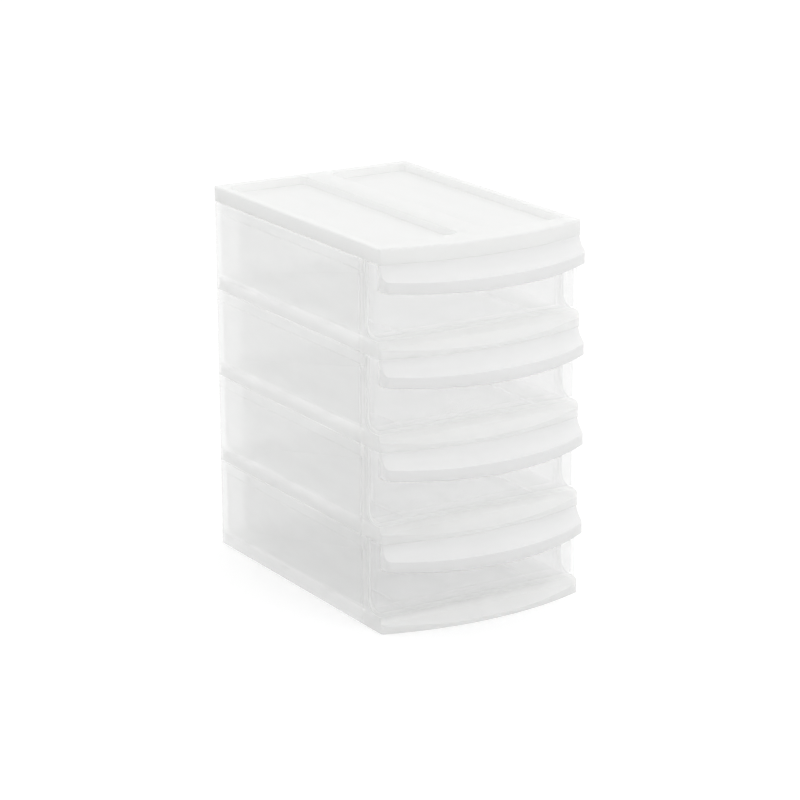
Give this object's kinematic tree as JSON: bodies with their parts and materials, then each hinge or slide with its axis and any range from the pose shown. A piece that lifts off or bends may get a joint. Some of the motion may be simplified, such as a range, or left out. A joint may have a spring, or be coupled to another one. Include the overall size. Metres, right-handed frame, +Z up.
{
  "type": "desktop drawer tower",
  "caption": "Small translucent plastic drawer tower for a desk: stacked sections with bowed sills, shallow trays in the lid, and open drawers with a bowed pull along the top edge.",
  "frame": {"origin": "middle of the bounding box in plan, on the plane that the lowest section rests on", "axes": "+Z up; the drawers open towards -Y; +X to the right as seen from the front"},
  "size_m": [0.12, 0.1912, 0.2],
  "materials": {
    "milky_plastic": "satin, translucent",
    "clear_plastic": "smooth, see-through"
  },
  "bodies": {
    "tower": {"section_1": "milky_plastic", "section_2": "milky_plastic", "section_3": "milky_plastic", "section_4": "milky_plastic", "lid": "milky_plastic"},
    "drawer_1": {"drawer_1": "clear_plastic"},
    "drawer_2": {"drawer_2": "clear_plastic"},
    "drawer_3": {"drawer_3": "clear_plastic"},
    "drawer_4": {"drawer_4": "clear_plastic"}
  },
  "joints": [
    {"name": "drawer_1_slide", "type": "slide", "parent": "tower", "child": "drawer_1", "axis": [0, -1, 0], "range_m": [0, 0.134]},
    {"name": "drawer_2_slide", "type": "slide", "parent": "tower", "child": "drawer_2", "axis": [0, -1, 0], "range_m": [0, 0.134]},
    {"name": "drawer_3_slide", "type": "slide", "parent": "tower", "child": "drawer_3", "axis": [0, -1, 0], "range_m": [0, 0.134]},
    {"name": "drawer_4_slide", "type": "slide", "parent": "tower", "child": "drawer_4", "axis": [0, -1, 0], "range_m": [0, 0.134]}
  ]
}
